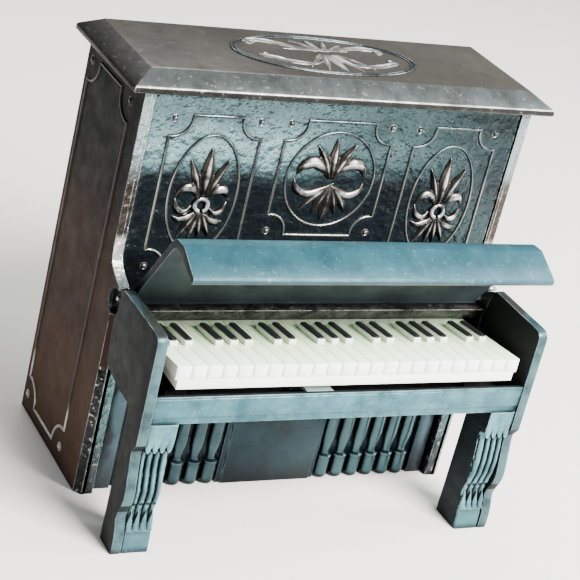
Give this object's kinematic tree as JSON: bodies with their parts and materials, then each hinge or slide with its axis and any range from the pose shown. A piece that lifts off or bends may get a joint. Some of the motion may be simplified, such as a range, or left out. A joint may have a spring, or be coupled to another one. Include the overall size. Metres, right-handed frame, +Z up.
{
  "type": "miniature upright piano",
  "caption": "dolls-house upright piano in antiqued cast metal with a hinged fallboard over a white keyboard",
  "frame": {"origin": "middle of the footprint, on the ground", "axes": "+Z up, +X to the player's right, the player sits at -Y and the back of the case is at +Y"},
  "size_m": [0.0648, 0.0399, 0.062],
  "materials": {
    "teal_patina": "blue-green paint rubbed through to bright metal on the raised edges",
    "dark_patina": "near-black antiqued metal, warm brown where worn",
    "antique_bronze": "brown antiqued metal with silver high points",
    "key_white": "white moulded keys",
    "key_black": "black printed tops of the sharps",
    "dark_metal": "plain dark metal out of sight"
  },
  "bodies": {
    "case": {"back_panel": "dark_metal", "base_plate": "dark_metal", "centre_palmette": "antique_bronze", "fall_rail": "antique_bronze", "front_rivets": "antique_bronze", "key_bed": "dark_metal", "key_slip": "teal_patina", "key_support": "dark_metal", "keyboard_clip": "dark_metal", "left_arm": "dark_patina", "left_baluster_1": "dark_patina", "left_baluster_2": "dark_patina", "left_baluster_3": "dark_patina", "left_baluster_4": "dark_patina", "left_baluster_5": "dark_patina", "left_baluster_6": "dark_patina", "left_leg": "teal_patina", "left_palmette": "antique_bronze", "left_pilaster": "teal_patina", "left_side": "dark_patina", "left_side_rivets": "dark_patina", "lower_panel": "teal_patina", "right_arm": "dark_patina", "right_baluster_1": "dark_patina", "right_baluster_2": "dark_patina", "right_baluster_3": "dark_patina", "right_baluster_4": "dark_patina", "right_baluster_5": "dark_patina", "right_baluster_6": "dark_patina", "right_leg": "teal_patina", "right_palmette": "antique_bronze", "right_pilaster": "teal_patina", "right_side": "dark_patina", "right_side_rivets": "dark_patina", "sharp_caps": "key_black", "top_board": "antique_bronze", "top_medallion": "antique_bronze", "upper_panel": "teal_patina", "white_keys": "key_white"},
    "fallboard": {"fallboard": "teal_patina", "left_hinge_pin": "antique_bronze", "right_hinge_pin": "antique_bronze"}
  },
  "joints": [
    {"name": "fallboard_hinge", "type": "hinge", "parent": "case", "child": "fallboard", "pos_m": [0, -0.00375, 0.0304], "axis": [1, 0, 0], "range_deg": [-41, 50]}
  ]
}
